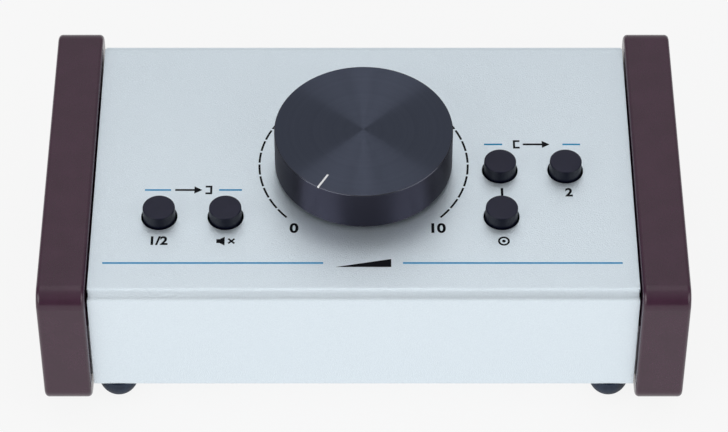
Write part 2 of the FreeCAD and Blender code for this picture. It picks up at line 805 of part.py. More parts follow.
# ================================================================ headers and ribbon cable
def make_link():
    half = header_width / 2
    header_low = board_under - header_height
    header_t = (header_up_slope - header_depth / 2, header_up_slope + header_depth / 2)
    upper = on_panel(box((-half, half), header_t, (header_low, board_under)))
    lower_y = (jack_board_y, jack_board_y + header_depth)
    lower = box((-half, half), lower_y, (jack_board_z - header_height, jack_board_z))
    parts["board_headers"] = compound([upper, lower])

    start = panel_frame.multVec(Vec(0, header_up_slope, header_low))
    down = Vec(0, math.sin(slope), -math.cos(slope))
    end = Vec(0, jack_board_y, jack_board_z - header_height / 2)
    turn = start + down * ((start.z - end.z) / math.cos(slope))
    across_start = Vec(0, math.cos(slope), math.sin(slope)) * (ribbon_thickness / 2)
    across_end = Vec(0, 0, ribbon_thickness / 2)
    inside = turn + (Vec(0, 1, 0) - down).normalize() * (
        ribbon_thickness / 2 / math.sin(Vec(0, 1, 0).getAngle(-down) / 2))
    outside = turn + turn - inside
    near_start, near_end = [start + across_start, start - across_start], [end - across_end, end + across_end]
    corners = near_start + [outside] + near_end + [inside]
    radii = [0, 0, ribbon_bend_radius + ribbon_thickness / 2, 0, 0, ribbon_bend_radius - ribbon_thickness / 2]
    strip = rounded_face(corners, radii).extrude(Vec(ribbon_width, 0, 0))
    parts["ribbon_cable"] = strip.translated(Vec(-ribbon_width / 2, 0, 0))


# ================================================================ assembly
def make_case():
    parts["case_shell"] = make_case_shell()
    parts["base_tray"] = make_base_tray()
    parts["cheek_left"] = make_cheek(-1)
    parts["cheek_right"] = make_cheek(1)
    for name, (side, y) in feet.items():
        parts["foot_" + name] = make_foot(side, y)
    lip_screw = screw(screw_radius, machine_head, sheet + tray_sheet + machine_tail)
    post_screw = screw(screw_radius, machine_head, tray_sheet + machine_tail)
    parts["bottom_screws"] = compound(
        [placed(lip_screw, Vec(x, y, foot_height)) for x, y in lip_screw_places]
        + [placed(post_screw, Vec(x, y, tray_z)) for x, y in jack_post_places]
    )
    cheek_screw = screw(wood_screw / 2, wood_head, tray_sheet + cheek_screw_bite)
    seat = cheek_gap / 2 - tray_sheet
    parts["cheek_screws"] = compound([
        placed(cheek_screw, Vec(side * seat, y, z), Vec(side, 0, 0))
        for side in (-1, 1)
        for y, z in cheek_screw_places
    ])


make_case()
make_volume_control()
make_buttons()
make_control_board()
make_jack_board()
make_jacks()
parts["board_screws"] = compound(make_control_posts() + make_jack_posts())
make_link()

os.makedirs("parts", exist_ok=True)
for node, shape in parts.items():
    shape.exportStep(f"parts/{node}.step")
print(len(parts), "parts, bore radius", bore_radius, "jack height", round(jack_z, 3))
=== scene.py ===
import math

import bpy
from mathutils import Matrix, Vector


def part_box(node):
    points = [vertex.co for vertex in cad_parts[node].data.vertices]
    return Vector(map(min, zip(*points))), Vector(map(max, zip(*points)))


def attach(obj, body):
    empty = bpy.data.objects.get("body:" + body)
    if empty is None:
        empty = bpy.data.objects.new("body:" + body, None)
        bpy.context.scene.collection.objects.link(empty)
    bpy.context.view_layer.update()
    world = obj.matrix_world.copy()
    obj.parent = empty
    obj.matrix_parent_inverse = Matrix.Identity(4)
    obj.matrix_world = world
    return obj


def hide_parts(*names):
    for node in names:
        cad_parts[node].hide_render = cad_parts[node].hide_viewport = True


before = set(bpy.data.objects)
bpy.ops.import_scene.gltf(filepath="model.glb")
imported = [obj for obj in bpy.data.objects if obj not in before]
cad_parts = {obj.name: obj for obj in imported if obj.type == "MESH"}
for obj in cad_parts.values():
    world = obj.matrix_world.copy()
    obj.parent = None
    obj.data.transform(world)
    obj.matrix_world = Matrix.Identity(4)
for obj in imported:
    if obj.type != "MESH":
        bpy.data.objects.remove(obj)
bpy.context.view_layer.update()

# ================================================================ case shell
# One sheet of 1.2 mm steel, folded into the front wall, the gently sloping top, the rear wall and
# two bottom lips, with punched holes. It is sprayed with a fine-grained silver paint.
mm = 0.001
sheet = 1.2 * mm
fold_radius = 2.9 * mm
low_fold_radius = 2.0 * mm
front_height = 37.0 * mm
slope = math.radians(2.9)
lip_depth = 13.0 * mm
fold_notch = Vector((0.6, 4.4, 4.4)) * mm
sheet_edge_round = 0.1 * mm
smooth_angle = math.radians(30)
button_hole_radius = 5.05 * mm
bushing_hole_radius = 4.65 * mm
nose_hole_radius = 6.1 * mm
punch_length = 6 * sheet

shell_low, shell_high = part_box("case_shell")
front_y, rear_y = shell_low.y, shell_high.y
shell_depth = rear_y - front_y
slope_rise = shell_depth * math.tan(slope)
corner_z = shell_low.z + front_height
# Places on the top: across from the middle, up the slope from the front corner, and out of the top.
panel = Matrix.Translation((0, front_y, corner_z)) @ Matrix.Rotation(slope, 4, "X")


def middle(node):
    """The middle of a node's box."""
    low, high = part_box(node)
    return (low + high) / 2


def leave_edit():
    """Ends edit mode, so that the mesh holds what was made."""
    if bpy.context.mode != "OBJECT":
        bpy.ops.object.mode_set(mode="OBJECT")


def begin(name, add, **settings):
    """Adds one primitive with nothing else selected, puts its place in its mesh and starts to edit it."""
    leave_edit()
    bpy.ops.object.select_all(action="DESELECT")
    add(**settings)
    piece = bpy.context.object
    piece.name = piece.data.name = name
    bpy.ops.object.transform_apply()
    bpy.ops.object.mode_set(mode="EDIT")
    return piece


def pick(piece, kind, wanted):
    """Selects the vertices, edges or faces whose middle and direction pass a test."""
    modes = {"vertices": "VERT", "edges": "EDGE", "polygons": "FACE"}
    bpy.ops.mesh.select_mode(type=modes[kind])
    bpy.ops.mesh.select_all(action="DESELECT")
    bpy.ops.object.mode_set(mode="OBJECT")
    points = [vertex.co for vertex in piece.data.vertices]
    for item in getattr(piece.data, kind):
        if kind == "vertices":
            item.select = wanted(item.co)
        elif kind == "edges":
            start, end = (points[i] for i in item.vertices)
            item.select = wanted((start + end) / 2, (end - start).normalized())
        else:
            item.select = wanted(item.center, item.normal)
    bpy.ops.object.mode_set(mode="EDIT")


def points_along(direction, axis):
    """Whether an edge or a face's normal points along an axis, either way."""
    return abs(getattr(direction, axis)) > 0.9


def modify(piece, kind, **settings):
    """Adds one modifier and applies it."""
    leave_edit()
    bpy.context.view_layer.objects.active = piece
    modifier = piece.modifiers.new(kind, kind)
    for name, value in settings.items():
        setattr(modifier, name, value)
    bpy.ops.object.modifier_apply(modifier=modifier.name)


def soften(piece, width, angle):
    """Rounds every edge that turns by more than an angle in degrees."""
    modify(
        piece, "BEVEL", width=width, segments=2, limit_method="ANGLE",
        angle_limit=math.radians(angle), harden_normals=True,
    )


def join(name, pieces):
    """Makes several pieces one mesh."""
    bpy.ops.object.select_all(action="DESELECT")
    for piece in pieces:
        piece.select_set(True)
    bpy.context.view_layer.objects.active = pieces[0]
    if len(pieces) > 1:
        bpy.ops.object.join()
    pieces[0].name = pieces[0].data.name = name
    return pieces[0]


def punch_rod(radius, length, place, turn=(0, 0, 0), sides=64):
    """A round punch, centred on a place."""
    rod = begin(
        "punch", bpy.ops.mesh.primitive_cylinder_add,
        vertices=sides, radius=radius, depth=length, location=place, rotation=turn,
    )
    leave_edit()
    return rod


def punch_block(size, place):
    """A square punch, centred on a place."""
    block = begin("punch", bpy.ops.mesh.primitive_cube_add, size=1, scale=size, location=place)
    leave_edit()
    return block


def combine(piece, tools, operation="DIFFERENCE"):
    """Cuts, adds or keeps what the tools cover, and throws the tools away."""
    leave_edit()
    tool = join("punch", tools)
    modify(piece, "BOOLEAN", object=tool, operation=operation, solver="EXACT")
    bpy.data.objects.remove(tool)


def settle(piece, body, place=Matrix.Identity(4)):
    """Puts the place in the mesh, smooths shallow edges and lets the piece ride on its body."""
    leave_edit()
    bpy.ops.object.select_all(action="DESELECT")
    piece.select_set(True)
    bpy.context.view_layer.objects.active = piece
    piece.matrix_world = place
    bpy.ops.object.transform_apply()
    bpy.ops.object.shade_smooth_by_angle(angle=smooth_angle)
    modify(piece, "WEIGHTED_NORMAL", weight=100, keep_sharp=True)
    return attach(piece, body)


shell = begin(
    "shell_sheet", bpy.ops.mesh.primitive_cube_add,
    size=1, scale=(2 * shell_high.x, shell_depth, front_height),
    location=(0, (front_y + rear_y) / 2, (shell_low.z + corner_z) / 2),
)
pick(shell, "vertices", lambda at: at.y > 0 and at.z > corner_z - sheet)
bpy.ops.transform.translate(value=(0, 0, slope_rise))
pick(shell, "polygons", lambda at, out: points_along(out, "x"))
bpy.ops.mesh.delete(type="ONLY_FACE")
pick(shell, "edges", lambda at, along: points_along(along, "x") and at.z > corner_z - sheet)
bpy.ops.mesh.bevel(offset=fold_radius, segments=10, affect="EDGES")
pick(shell, "edges", lambda at, along: points_along(along, "x") and at.z < shell_low.z + sheet)
bpy.ops.mesh.bevel(offset=low_fold_radius, segments=10, affect="EDGES")
modify(shell, "SOLIDIFY", thickness=sheet, offset=-1, use_even_offset=True)

tilt = (slope, 0, 0)
level = (math.pi / 2, 0, 0)
knob_up_slope = (panel.inverted() @ middle("pot_bushing")).y
button_names = ("input", "mute", "mono", "output_a", "output_b")
button_spots = {name: panel.inverted() @ middle("switch_" + name) for name in button_names}
jack_names = [f"jack_{number}" for number in range(1, 9)]
punches = [punch_rod(bushing_hole_radius, punch_length, panel @ Vector((0, knob_up_slope, 0)), tilt)]
for spot in button_spots.values():
    punches.append(punch_rod(button_hole_radius, punch_length, panel @ Vector((spot.x, spot.y, 0)), tilt))
for name in jack_names:
    hole = Vector((middle(name).x, rear_y, middle(name).z))
    punches.append(punch_rod(nose_hole_radius, punch_length, hole, level))
for side in (-1, 1):
    for y, z in ((front_y, corner_z), (rear_y, corner_z + slope_rise)):
        punches.append(punch_block(fold_notch, (side * shell_high.x, y, z)))
window = (2 * shell_high.x + fold_radius, shell_depth - 2 * lip_depth, 4 * sheet)
punches.append(punch_block(window, (0, (front_y + rear_y) / 2, shell_low.z)))
combine(shell, punches)
soften(shell, sheet_edge_round, angle=50)
settle(shell, "case")
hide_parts("case_shell")


def colour(red, green, blue):
    """A colour written as it looks on a screen, 0 to 255, as a shader's own numbers."""
    channels = [channel / 255 for channel in (red, green, blue)]
    return tuple(c / 12.92 if c <= 0.04045 else ((c + 0.055) / 1.055) ** 2.4 for c in channels) + (1.0,)


class Signal:
    """A value that changes over a surface; sums and products of signals add their own nodes."""

    def __init__(self, wiring, socket):
        self.wiring = wiring
        self.socket = socket

    def math(self, operation, first, second=0.0):
        return self.wiring.node("Math", {"operation": operation}, {0: first, 1: second})

    def __add__(self, other):
        return self.math("ADD", self, other)

    __radd__ = __add__

    def __sub__(self, other):
        return self.math("SUBTRACT", self, other)

    def __rsub__(self, other):
        return self.math("SUBTRACT", other, self)

    def __mul__(self, other):
        return self.math("MULTIPLY", self, other)

    __rmul__ = __mul__

    def __truediv__(self, other):
        return self.math("DIVIDE", self, other)

    def __pow__(self, other):
        return self.math("POWER", self, other)

    def __abs__(self):
        return self.math("ABSOLUTE", self)

    def above(self, edge, soft):
        """0 below an edge, 1 above it, with a soft step between."""
        return self.wiring.node(
            "MapRange", {"interpolation_type": "SMOOTHSTEP"}, {0: self, 1: edge - soft, 2: edge + soft})


class Wiring:
    """The nodes of one material, or of the studio's air."""

    def __init__(self, tree):
        self.tree = tree

    def node(self, kind, settings=None, sockets=None, output=0):
        """Adds one node: its settings first, then the values or links of its sockets."""
        made = self.tree.nodes.new("ShaderNode" + kind)
        for name, value in (settings or {}).items():
            setattr(made, name, value)
        for name, value in (sockets or {}).items():
            self.feed(made.inputs[name], value)
        return Signal(self, made.outputs[output])

    def feed(self, socket, value):
        """Links a signal to a socket, or sets a plain value on it."""
        if isinstance(value, Signal):
            self.tree.links.new(value.socket, socket)
        else:
            socket.default_value = value

    def axes(self, vector):
        """The three parts of a vector."""
        split = self.node("SeparateXYZ", {}, {0: vector}).socket.node
        return [Signal(self, socket) for socket in split.outputs]


class Finish(Wiring):
    """A material made around one Principled shader, with the constants set on its sockets."""

    def __init__(self, name, **constants):
        self.material = bpy.data.materials.new(name)
        self.material.use_nodes = True
        super().__init__(self.material.node_tree)
        self.shader = self.tree.nodes["Principled BSDF"]
        for socket, value in constants.items():
            self.vary(socket.replace("_", " "), value)
        self.place = self.node("TexCoord", output="Object")

    def vary(self, socket, value):
        """Feeds one of the shader's sockets."""
        self.feed(self.shader.inputs[socket], value)

    def blend(self, share, first, second):
        """Between two colours."""
        return self.node("Mix", {"data_type": "RGBA"}, {0: share, 6: first, 7: second}, output=2)

    def grain(self, size, detail=2.0, where=None):
        """Even noise whose patches are about this big."""
        return self.node(
            "TexNoise", {}, {"Vector": where or self.place, "Scale": 1 / size, "Detail": detail})

    def moved(self, centre=(0, 0, 0), turn=(0, 0, 0), stretch=(1, 1, 1)):
        """Object coordinates about another centre, turned and stretched."""
        return self.node(
            "Mapping", {"vector_type": "TEXTURE"},
            {"Vector": self.place, "Location": centre, "Rotation": turn, "Scale": stretch})

    def relief(self, height, depth):
        """Raises the surface by a height signal, which runs from 0 to 1."""
        self.vary("Normal", self.node("Bump", {}, {"Height": height, "Distance": depth}))

    def cover(self, *pieces):
        """Gives this finish to pieces, or to the model's own pieces by name."""
        for piece in pieces:
            if isinstance(piece, str):
                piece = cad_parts[piece]
            piece.data.materials.clear()
            piece.data.materials.append(self.material)


silver = Finish("silver_paint", Metallic=0.78)
flake = silver.grain(0.27 * mm)
cloud = silver.grain(9 * mm, detail=1.0)
fleck = flake.above(0.5, 0.22)
tone = silver.blend(fleck, colour(226, 237, 245), colour(234, 245, 252))
silver.vary("Base Color", silver.blend(cloud * 0.5, tone, colour(230, 241, 249)))
silver.vary("Roughness", 0.35 - fleck * 0.06)
silver.relief(flake, 0.09 * mm)
silver.cover(shell)

# ================================================================ panel marks
# Screen print on the top: thin blue rules beside the titles and a dashed black ring about the dial,
# with plain numbers and plain signs for volume, in, out, mute and mono. The ink stands just proud.
# The rear has a thin black rule and a number over each socket.
ink_rise = 0.03 * mm
ink_weld = 0.002 * mm
digit_share = 0.69
rule_width = 0.54 * mm
ring_radius = 29.4 * mm
ring_width = 0.58 * mm
ring_gap_half_angle = math.radians(46.7)
dash_count = 30
dash_share = 0.85
label_drop = 9.15 * mm
output_label_drop = 8.6 * mm
label_height = 2.9 * mm
title_rise = 10.05 * mm
dial_number_drop = 4.5 * mm
dial_number_height = 3.3 * mm
dial_low_x = -19.3 * mm
dial_high_x = 20.4 * mm
cross_shift = 1.85 * mm
label_shifts = {"mono": 0.4 * mm, "output_a": 0.4 * mm, "output_b": 0.7 * mm}
volume_drop = 17.2 * mm
rear_number_z = 37.4 * mm
rear_number_height = 2.6 * mm
rear_rule_z = 34.9 * mm
rear_rule_half = 66 * mm
rear_rule_width = 0.3 * mm


def bar(x0, x1, y, width):
    """A level bar, as the corners of a closed outline."""
    return [(x0, y - width / 2), (x1, y - width / 2), (x1, y + width / 2), (x0, y + width / 2)]


def arc(radius, start, end, steps, centre=(0.0, 0.0)):
    """Points along an arc; angles run from straight down, to the right."""
    turns = [start + (end - start) * i / steps for i in range(steps + 1)]
    return [(centre[0] + radius * math.sin(a), centre[1] - radius * math.cos(a)) for a in turns]


def drawn(outline, x, y):
    """An outline in millimetres, at a place in metres."""
    return [(x + mm * a, y + mm * b) for a, b in outline]


def printed(name, outlines, texts, place, bold=0.0):
    """Flat print: closed outlines and centred numbers, made solid and set on a surface."""
    curve = bpy.data.curves.new(name, "CURVE")
    curve.dimensions = "2D"
    curve.fill_mode = "BOTH"
    curve.extrude = ink_rise
    for outline in outlines:
        spline = curve.splines.new("POLY")
        spline.points.add(len(outline) - 1)
        for point, (x, y) in zip(spline.points, outline):
            point.co = (x, y, 0, 1)
        spline.use_cyclic_u = True
    bpy.ops.object.select_all(action="DESELECT")
    pieces = [bpy.data.objects.new(name, curve)]
    bpy.context.scene.collection.objects.link(pieces[0])
    for words, x, y, height in texts:
        bpy.ops.object.text_add(location=(x, y, 0))
        text = bpy.context.object
        text.data.body = words
        text.data.size = height / digit_share
        text.data.offset = height * bold
        text.data.extrude = ink_rise
        text.data.align_x = "CENTER"
        text.data.align_y = "CENTER"
        text.select_set(False)
        pieces.append(text)
    for piece in pieces:
        piece.select_set(True)
        bpy.context.view_layer.objects.active = piece
        bpy.ops.object.convert(target="MESH")
        bpy.ops.object.select_all(action="DESELECT")
    print_piece = join(name, pieces)
    bpy.ops.object.mode_set(mode="EDIT")
    bpy.ops.mesh.select_all(action="SELECT")
    bpy.ops.mesh.remove_doubles(threshold=ink_weld)
    bpy.ops.mesh.normals_make_consistent(inside=False)
    return settle(print_piece, "case", place)


dash_pitch = (2 * math.pi - 2 * ring_gap_half_angle) / (dash_count - 1 + dash_share)
dashes = []
for i in range(dash_count):
    start = ring_gap_half_angle + dash_pitch * i
    end = start + dash_pitch * dash_share
    outer = arc(ring_radius + ring_width / 2, start, end, steps=8, centre=(0, knob_up_slope))
    inner = arc(ring_radius - ring_width / 2, end, start, steps=8, centre=(0, knob_up_slope))
    dashes.append(outer + inner)

# The signs are outlined in millimetres about their own middles.
wedge = [(-7.6, -1.45), (7.6, -1.45), (7.6, 1.45)]
speaker = [(-2.3, -0.7), (-1.4, -0.7), (0.0, -1.6), (0.0, 1.6), (-1.4, 0.7), (-2.3, 0.7)]
mono_rings = [arc(radius, 0, 2 * math.pi, steps=32)[:-1] for radius in (1.65, 1.1, 0.5)]
arrow_in = [
    (-5.2, -0.33), (0.2, -0.33), (0.2, -1.35), (2.4, 0),
    (0.2, 1.35), (0.2, 0.33), (-5.2, 0.33),
]
arrow_out = [(x + 2.8, y) for x, y in arrow_in]
bracket_in = [
    (3.3, -1.6), (5.2, -1.6), (5.2, 1.6), (3.3, 1.6),
    (3.3, 0.95), (4.6, 0.95), (4.6, -0.95), (3.3, -0.95),
]
bracket_out = [(-x, y) for x, y in bracket_in]
reach, thin = 1.05, 0.38
arm = [(0, thin), (reach - thin, reach), (reach, reach - thin)]
cross = []
for quarter in range(4):
    cross += arm
    arm = [(y, -x) for x, y in arm]

left_column = (button_spots["input"].x + button_spots["mute"].x) / 2
right_column = (button_spots["output_a"].x + button_spots["output_b"].x) / 2
low_row = button_spots["input"].y
high_row = button_spots["output_a"].y
low_title = low_row + title_rise
high_title = high_row + title_rise
low_label = low_row - label_drop
high_label = high_row - output_label_drop
dial_label = low_row - dial_number_drop
volume_row = low_row - volume_drop
signs = dashes + [
    drawn(wedge, 0, volume_row),
    drawn(arrow_in, left_column, low_title),
    drawn(bracket_in, left_column, low_title),
    drawn(arrow_out, right_column, high_title),
    drawn(bracket_out, right_column, high_title),
    drawn(speaker, button_spots["mute"].x, low_label),
    drawn(cross, button_spots["mute"].x + cross_shift, low_label),
]
# The print on the right stands a little beside the middles of its buttons.
mono_x, output_a_x, output_b_x = (button_spots[name].x + shift for name, shift in label_shifts.items())
signs += [drawn(ring, mono_x, low_label) for ring in mono_rings]
numbers = [
    ("1/2", button_spots["input"].x, low_label, label_height),
    ("1", output_a_x, high_label, label_height),
    ("2", output_b_x, high_label, label_height),
    ("0", dial_low_x, dial_label, dial_number_height),
    ("10", dial_high_x, dial_label, dial_number_height),
]
black_print = printed("panel_print_black", signs, numbers, panel, bold=0.05)

rule_ends = [
    (-71.8, -11.1, volume_row), (10.8, 71.2, volume_row),
    (-61.3, -54.0, low_title), (-40.5, -34.1, low_title),
    (34.2, 39.4, high_title), (56.5, 61.5, high_title),
]
rules = [bar(x0 * mm, x1 * mm, row, rule_width) for x0, x1, row in rule_ends]
blue_print = printed("panel_print_blue", rules, [], panel)

half_turn = Matrix.Rotation(math.pi, 4, "Z")
upright = Matrix.Rotation(math.pi / 2, 4, "X")
rear_wall = Matrix.Translation((0, rear_y, 0)) @ half_turn @ upright
rear_numbers = [
    (str(number), -middle(name).x, rear_number_z, rear_number_height)
    for number, name in enumerate(jack_names, 1)
]
rear_rule = bar(-rear_rule_half, rear_rule_half, rear_rule_z, rear_rule_width)
rear_print = printed("rear_print_black", [rear_rule], rear_numbers, rear_wall)

black_ink = Finish("black_ink", Specular_IOR_Level=0.1)
blot = black_ink.grain(0.3 * mm)
black_ink.vary("Base Color", black_ink.blend(blot, colour(4, 5, 9), colour(13, 15, 22)))
black_ink.vary("Roughness", 0.45 + blot * 0.25)
black_ink.relief(blot, 0.01 * mm)
black_ink.cover(black_print, rear_print)

blue_ink = Finish("blue_ink", Specular_IOR_Level=0.12)
blot = blue_ink.grain(0.3 * mm)
blue_ink.vary("Base Color", blue_ink.blend(blot, colour(0, 130, 180), colour(0, 150, 202)))
blue_ink.vary("Roughness", 0.42 + blot * 0.2)
blue_ink.relief(blot, 0.01 * mm)
blue_ink.cover(blue_print)

# ================================================================ cheeks
# Two solid wood blocks, routed to one outline and rounded all round, then filled, stained and
# sprayed with a dark wine-red lacquer that hides the grain. Screws hold them from inside.
cheek_corner_radius = 5.0 * mm
cheek_edge_radius = 1.2 * mm
cheek_low, cheek_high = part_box("cheek_left")
cheek_top = cheek_high.z - cheek_edge_radius
cheek_fall = (cheek_high.y - cheek_low.y) * math.tan(slope)
# Rounding takes this much off the height of the rear top corner, so the block starts that much higher.
corner_loss = cheek_corner_radius * (math.tan(slope) + 1 - 1 / math.cos(slope))


def copies(blank, places):
    """One settled copy of a piece, with its own mesh, for each node that it stands for."""
    leave_edit()
    made = []
    for node, body, place in places:
        piece = bpy.data.objects.new(f"{node}_{blank.name}", blank.data.copy())
        piece.data.name = piece.name
        bpy.context.scene.collection.objects.link(piece)
        settle(piece, body, place)
        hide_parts(node)
        made.append(piece)
    bpy.data.objects.remove(blank)
    return made


cheek_block = begin(
    "block", bpy.ops.mesh.primitive_cube_add,
    size=1, scale=cheek_high - cheek_low, location=middle("cheek_left"),
)
pick(cheek_block, "vertices", lambda at: at.z > cheek_top)
bpy.ops.transform.translate(value=(0, 0, corner_loss))
pick(cheek_block, "vertices", lambda at: at.z > cheek_top and at.y < 0)
bpy.ops.transform.translate(value=(0, 0, -cheek_fall))
pick(cheek_block, "edges", lambda at, along: points_along(along, "x"))
bpy.ops.mesh.bevel(offset=cheek_corner_radius, segments=16, affect="EDGES")
pick(cheek_block, "edges", lambda at, along: not points_along(along, "x"))
bpy.ops.mesh.bevel(offset=cheek_edge_radius, segments=10, affect="EDGES")
across_case = Matrix.Translation((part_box("cheek_right")[0].x - cheek_low.x, 0, 0))
cheeks = copies(cheek_block, [
    ("cheek_left", "case", Matrix.Identity(4)),
    ("cheek_right", "case", across_case),
])

lacquer = Finish("wine_lacquer", IOR=1.58)
stain = lacquer.grain(7 * mm, detail=3.0)
pores = lacquer.grain(0.35 * mm, where=lacquer.moved(stretch=(1, 4, 1)))
peel = lacquer.grain(1.1 * mm, detail=1.0)
ground = lacquer.blend(stain.above(0.5, 0.2), colour(53, 14, 41), colour(58, 19, 46))
lacquer.vary("Base Color", lacquer.blend(pores.above(0.62, 0.1) * 0.35, ground, colour(40, 14, 31)))
lacquer.vary("Roughness", 0.19 + stain * 0.06 + pores * 0.06)
lacquer.relief(peel + pores * 0.25, 0.012 * mm)
lacquer.cover(*cheeks)

# ================================================================ feet
# Four moulded rubber domes that the case stands on. Each has a stem with a barb at its tip, which
# is pushed up through the bottom lip and the tray and snaps in place.
foot_low, foot_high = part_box("foot_front_left")
foot_radius = (foot_high.x - foot_low.x) / 2
foot_flat_radius = 2.2 * mm
foot_shoulder = 6.2 * mm
foot_bulge = 1.1 * mm
foot_height = shell_low.z
foot_rim_chamfer = 0.15 * mm
stem_radius = 2.0 * mm
barb_radius = 2.6 * mm
barb_height = 1.6 * mm
stem_tip_radius = 1.7 * mm


def turned(name, rings, sides=96):
    """A piece turned about Z: a disc at the first ring, drawn out through the others to a last disc."""
    radius, height = rings[0]
    piece = begin(
        name, bpy.ops.mesh.primitive_circle_add,
        vertices=sides, radius=radius, fill_type="NGON", location=(0, 0, height),
    )
    bpy.ops.mesh.select_all(action="SELECT")
    for wide, high in rings[1:]:
        bpy.ops.mesh.extrude_region_move(TRANSFORM_OT_translate={"value": (0, 0, high - height)})
        bpy.ops.transform.resize(value=(wide / radius, wide / radius, 1), center_override=(0, 0, high))
        radius, height = wide, high
    bpy.ops.mesh.select_all(action="SELECT")
    bpy.ops.mesh.normals_make_consistent(inside=False)
    leave_edit()
    return piece


def sweep(centre, radius, start, end, steps):
    """Rings along a rounded edge, by angle in degrees from level outwards."""
    turns = [math.radians(start + (end - start) * i / steps) for i in range(steps + 1)]
    return [(centre[0] + radius * math.cos(a), centre[1] + radius * math.sin(a)) for a in turns]


def bulging(first, last, bulge, steps):
    """Rings along the arc between two rings that stands this far out from the straight line."""
    across, up = last[0] - first[0], last[1] - first[1]
    chord = math.hypot(across, up)
    radius = chord ** 2 / (8 * bulge) + bulge / 2
    back = (radius - bulge) / chord
    centre = ((first[0] + last[0]) / 2 - up * back, (first[1] + last[1]) / 2 + across * back)
    start, end = (math.degrees(math.atan2(y - centre[1], x - centre[0])) for x, y in (first, last))
    return sweep(centre, radius, start, end, steps)


foot_rings = bulging((foot_flat_radius, 0), (foot_radius, foot_shoulder), foot_bulge, steps=14)
foot_rings += [
    (foot_radius, foot_height - foot_rim_chamfer), (foot_radius - foot_rim_chamfer, foot_height),
    (stem_radius, foot_height), (stem_radius, foot_high.z - barb_height),
    (barb_radius, foot_high.z - barb_height), (stem_tip_radius, foot_high.z),
]
feet = copies(turned("foot_dome", foot_rings, sides=72), [
    (name, "case", Matrix.Translation((middle(name).x, middle(name).y, 0)))
    for name in ("foot_front_left", "foot_front_right", "foot_rear_left", "foot_rear_right")
])

rubber = Finish("foot_rubber", Specular_IOR_Level=0.35)
skin = rubber.grain(0.3 * mm, detail=3.0)
dust = rubber.grain(2.2 * mm)
rubber.vary("Base Color", rubber.blend(dust.above(0.52, 0.2), colour(26, 37, 56), colour(38, 50, 70)))
rubber.vary("Roughness", 0.5 + dust * 0.2)
rubber.relief(skin, 0.03 * mm)
rubber.cover(*feet)

# ================================================================ base tray and its screws
# A second folded sheet, zinc-plated and unpainted. It lies on the lips, stands up inside both
# cheeks and carries everything. Pan-head screws hold the lips, the cheeks and the posts to it, and
# the knob's grub screw has the same plating.
spangle_size = 3.5 * mm
zinc = Finish("zinc_plate", Metallic=1.0)
crystals = zinc.node(
    "TexVoronoi", {"feature": "F1"}, {"Vector": zinc.place, "Scale": 1 / spangle_size}, output="Color")
spangle = zinc.axes(crystals)[0]
rolled = zinc.grain(0.5 * mm, detail=3.0, where=zinc.moved(stretch=(12, 1, 1)))
zinc.vary("Base Color", zinc.blend(spangle, colour(172, 176, 182), colour(196, 200, 206)))
zinc.vary("Roughness", 0.32 + spangle * 0.1 + rolled * 0.14)
zinc.relief(rolled, 0.006 * mm)
zinc.cover("base_tray")

screw_steel = Finish("plated_screws", Metallic=1.0)
tarnish = screw_steel.grain(1.3 * mm, detail=4.0)
scuff = screw_steel.grain(0.12 * mm)
screw_steel.vary("Base Color", screw_steel.blend(tarnish, colour(150, 152, 158), colour(204, 206, 210)))
screw_steel.vary("Roughness", 0.22 + tarnish * 0.16 + scuff * 0.1)
screw_steel.relief(scuff, 0.005 * mm)
screw_steel.cover("bottom_screws", "cheek_screws", "board_screws", "knob_grub_screw")

# ================================================================ volume knob
# Turned from one bar of aluminium, faced and chamfered on the lathe, then black anodised, so the
# tool's fine rings still catch the light. A milled slot at the rim is filled with white paint.
knob_radius = 25.0 * mm
knob_top = 14.13 * mm
knob_gap = 1.3 * mm
knob_chamfer = 0.22 * mm
knob_edge_round = 0.05 * mm
skirt_chamfer = 0.3 * mm
recess_radius = 12.0 * mm
recess_depth = 5.2 * mm
insert_radius = 5.52 * mm
insert_top = 11.55 * mm
pointer_size = Vector((0.6, 5.4, 0.4)) * mm
pointer_turn = math.radians(30)
slot_overrun = 1.0 * mm
fill_sink = 0.03 * mm
# Where the painted shade on the knob's side begins, and how soft its edge is.
wall_shade_lead, wall_shade_soft = 0.2 * mm, 0.1 * mm
# Where the painted highlight on the knob's chamfer begins, and how soft its edge is.
chamfer_highlight_lead, chamfer_highlight_soft = 0.05 * mm, 0.04 * mm

recess_top = knob_gap + recess_depth
knob = turned(
    "knob_turned",
    [
        (insert_radius, insert_top), (insert_radius, recess_top), (recess_radius, recess_top),
        (recess_radius, knob_gap), (knob_radius - skirt_chamfer, knob_gap),
        (knob_radius, knob_gap + skirt_chamfer), (knob_radius, knob_top - knob_chamfer),
        (knob_radius - knob_chamfer, knob_top), (knob_radius / 2, knob_top),
    ],
    sides=256,
)
soften(knob, knob_edge_round, angle=20)
pointer = knob.copy()
pointer.data = knob.data.copy()
pointer.name = pointer.data.name = "knob_pointer_fill"
bpy.context.scene.collection.objects.link(pointer)
slot_length = pointer_size.y + slot_overrun
slot_place = Vector((0, -knob_radius + (pointer_size.y - slot_overrun) / 2, knob_top))
combine(knob, [punch_block((pointer_size.x, slot_length, 2 * pointer_size.z), slot_place)])
fill_place = slot_place - Vector((0, 0, pointer_size.z / 2 + fill_sink))
combine(pointer, [punch_block((pointer_size.x, slot_length, pointer_size.z), fill_place)], "INTERSECT")
knob_centre = panel @ Vector((0, knob_up_slope, 0))
knob_place = panel @ Matrix.Translation((0, knob_up_slope, 0)) @ Matrix.Rotation(-pointer_turn, 4, "Z")
settle(knob, "volume_knob", knob_place)
settle(pointer, "volume_knob", knob_place)
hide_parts("knob")
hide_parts("knob_pointer")

anodised = Finish("black_anodised", Metallic=1.0, Anisotropic=1.0, Anisotropic_Rotation=0.25)
across, along, up = anodised.axes(anodised.moved(knob_centre, turn=tilt))
off_axis = (across * across + along * along) ** 0.5
feed_line = up - off_axis


